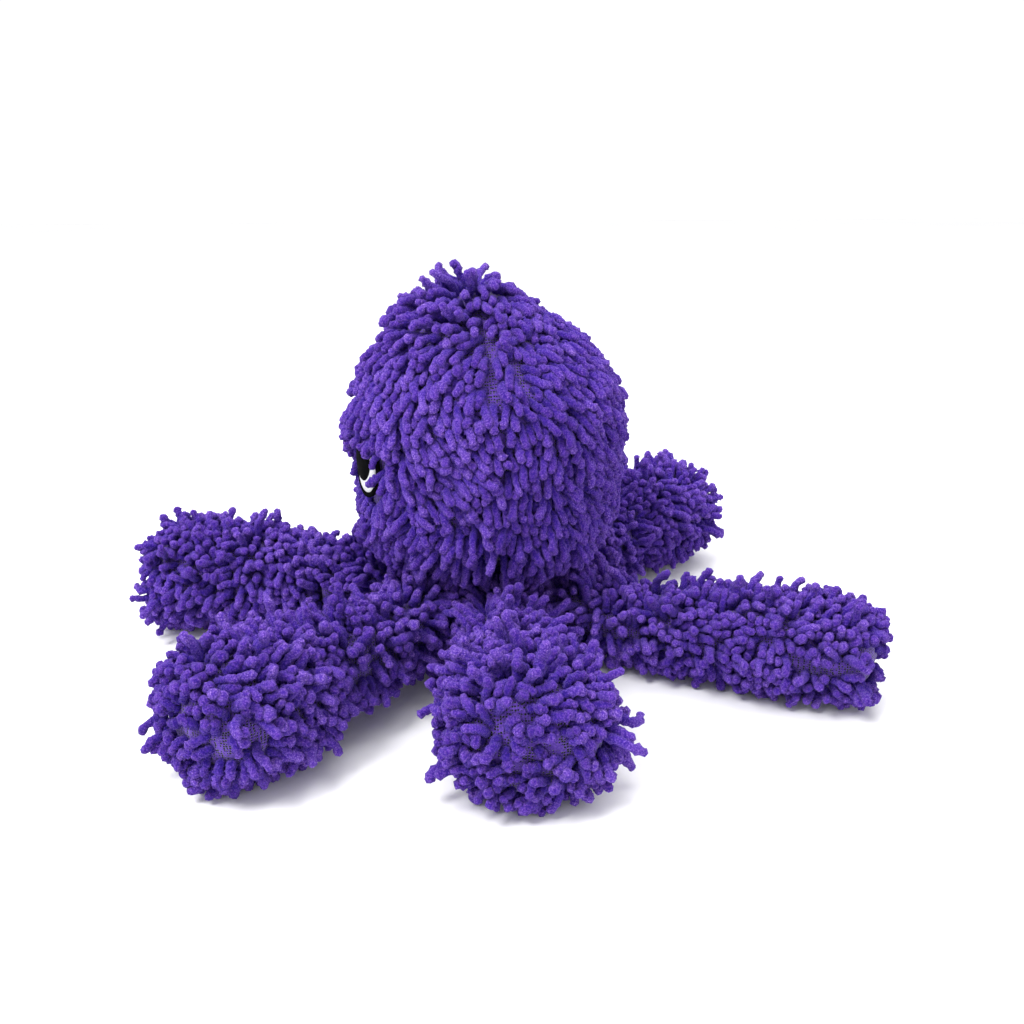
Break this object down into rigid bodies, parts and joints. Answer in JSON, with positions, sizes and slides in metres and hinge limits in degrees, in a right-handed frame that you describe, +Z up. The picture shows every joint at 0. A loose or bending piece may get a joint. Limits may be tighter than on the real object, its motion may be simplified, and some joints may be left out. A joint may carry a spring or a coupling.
{
  "type": "plush octopus toy",
  "caption": "Soft stuffed octopus with a domed head, stitched eyes and thick noodle-pile arms that lift and sway.",
  "frame": {"origin": "centre of the base panel's underside, on the surface that the toy sits on", "axes": "+Z up through the head; the face looks along -Y, and +X is the octopus's own left side"},
  "size_m": [0.3051, 0.3127, 0.164],
  "materials": {
    "purple_pile": "matte chenille noodle pile on a knitted backing",
    "polyester_fibre": "matte loose fibre",
    "black_thread": "satin stitch",
    "white_thread": "satin stitch",
    "squeaker_vinyl": "smooth satin vinyl"
  },
  "bodies": {
    "head": {"base_panel": "purple_pile", "head_cover_front_left": "purple_pile", "head_cover_front_right": "purple_pile", "head_cover_back_left": "purple_pile", "head_cover_back_right": "purple_pile", "head_stuffing_left": "polyester_fibre", "head_stuffing_right": "polyester_fibre", "squeaker_bulb": "squeaker_vinyl", "squeaker_reed": "squeaker_vinyl", "eye_left_outline": "black_thread", "eye_left_white": "white_thread", "eye_left_pupil": "black_thread", "eye_right_outline": "black_thread", "eye_right_white": "white_thread", "eye_right_pupil": "black_thread"},
    "arm_mid_left_inner": {"arm_mid_left_inner_top": "purple_pile", "arm_mid_left_inner_under": "purple_pile", "arm_mid_left_inner_stuffing": "polyester_fibre"},
    "arm_mid_left_outer": {"arm_mid_left_outer_top": "purple_pile", "arm_mid_left_outer_under": "purple_pile", "arm_mid_left_outer_stuffing": "polyester_fibre"},
    "arm_rear_left_inner": {"arm_rear_left_inner_top": "purple_pile", "arm_rear_left_inner_under": "purple_pile", "arm_rear_left_inner_stuffing": "polyester_fibre"},
    "arm_rear_left_outer": {"arm_rear_left_outer_top": "purple_pile", "arm_rear_left_outer_under": "purple_pile", "arm_rear_left_outer_stuffing": "polyester_fibre"},
    "arm_rear_right_inner": {"arm_rear_right_inner_top": "purple_pile", "arm_rear_right_inner_under": "purple_pile", "arm_rear_right_inner_stuffing": "polyester_fibre"},
    "arm_rear_right_outer": {"arm_rear_right_outer_top": "purple_pile", "arm_rear_right_outer_under": "purple_pile", "arm_rear_right_outer_stuffing": "polyester_fibre"},
    "arm_mid_right_inner": {"arm_mid_right_inner_top": "purple_pile", "arm_mid_right_inner_under": "purple_pile", "arm_mid_right_inner_stuffing": "polyester_fibre"},
    "arm_mid_right_outer": {"arm_mid_right_outer_top": "purple_pile", "arm_mid_right_outer_under": "purple_pile", "arm_mid_right_outer_stuffing": "polyester_fibre"},
    "arm_front_right_inner": {"arm_front_right_inner_top": "purple_pile", "arm_front_right_inner_under": "purple_pile", "arm_front_right_inner_stuffing": "polyester_fibre"},
    "arm_front_right_outer": {"arm_front_right_outer_top": "purple_pile", "arm_front_right_outer_under": "purple_pile", "arm_front_right_outer_stuffing": "polyester_fibre"},
    "arm_front_left_inner": {"arm_front_left_inner_top": "purple_pile", "arm_front_left_inner_under": "purple_pile", "arm_front_left_inner_stuffing": "polyester_fibre"},
    "arm_front_left_outer": {"arm_front_left_outer_top": "purple_pile", "arm_front_left_outer_under": "purple_pile", "arm_front_left_outer_stuffing": "polyester_fibre"}
  },
  "joints": [
    {"name": "lift_mid_left", "type": "hinge", "parent": "head", "child": "arm_mid_left_inner", "pos_m": [0.04999, 0.00087, 0.0249], "axis": [0.0175, -0.9998, 0], "range_deg": [-35, 40], "stiffness_Nm_per_rad": 0.04},
    {"name": "sway_mid_left", "type": "hinge", "parent": "arm_mid_left_inner", "child": "arm_mid_left_outer", "pos_m": [0.09599, 0.00168, 0.0249], "axis": [0, 0, 1], "range_deg": [-30, 30], "stiffness_Nm_per_rad": 0.03},
    {"name": "lift_rear_left", "type": "hinge", "parent": "head", "child": "arm_rear_left_inner", "pos_m": [0.0227, 0.04455, 0.02083], "axis": [0.891, -0.454, 0], "range_deg": [-35, 40], "stiffness_Nm_per_rad": 0.04},
    {"name": "sway_rear_left", "type": "hinge", "parent": "arm_rear_left_inner", "child": "arm_rear_left_outer", "pos_m": [0.04358, 0.08554, 0.02083], "axis": [0, 0, 1], "range_deg": [-30, 30], "stiffness_Nm_per_rad": 0.03},
    {"name": "lift_rear_right", "type": "hinge", "parent": "head", "child": "arm_rear_right_inner", "pos_m": [-0.03346, 0.03716, 0.02651], "axis": [0.7431, 0.6691, 0], "range_deg": [-35, 40], "stiffness_Nm_per_rad": 0.04},
    {"name": "sway_rear_right", "type": "hinge", "parent": "arm_rear_right_inner", "child": "arm_rear_right_outer", "pos_m": [-0.06424, 0.07134, 0.02651], "axis": [0, 0, 1], "range_deg": [-30, 30], "stiffness_Nm_per_rad": 0.03},
    {"name": "lift_mid_right", "type": "hinge", "parent": "head", "child": "arm_mid_right_inner", "pos_m": [-0.04872, -0.01125, 0.02502], "axis": [-0.225, 0.9744, 0], "range_deg": [-35, 40], "stiffness_Nm_per_rad": 0.04},
    {"name": "sway_mid_right", "type": "hinge", "parent": "arm_mid_right_inner", "child": "arm_mid_right_outer", "pos_m": [-0.09354, -0.02159, 0.02502], "axis": [0, 0, 1], "range_deg": [-30, 30], "stiffness_Nm_per_rad": 0.03},
    {"name": "lift_front_right", "type": "hinge", "parent": "head", "child": "arm_front_right_inner", "pos_m": [-0.01378, -0.04806, 0.02557], "axis": [-0.9613, 0.2756, 0], "range_deg": [-35, 40], "stiffness_Nm_per_rad": 0.04},
    {"name": "sway_front_right", "type": "hinge", "parent": "arm_front_right_inner", "child": "arm_front_right_outer", "pos_m": [-0.02646, -0.09228, 0.02557], "axis": [0, 0, 1], "range_deg": [-30, 30], "stiffness_Nm_per_rad": 0.03},
    {"name": "lift_front_left", "type": "hinge", "parent": "head", "child": "arm_front_left_inner", "pos_m": [0.03486, -0.03585, 0.02622], "axis": [-0.7169, -0.6972, 0], "range_deg": [-35, 40], "stiffness_Nm_per_rad": 0.04},
    {"name": "sway_front_left", "type": "hinge", "parent": "arm_front_left_inner", "child": "arm_front_left_outer", "pos_m": [0.06693, -0.06882, 0.02622], "axis": [0, 0, 1], "range_deg": [-30, 30], "stiffness_Nm_per_rad": 0.03}
  ]
}
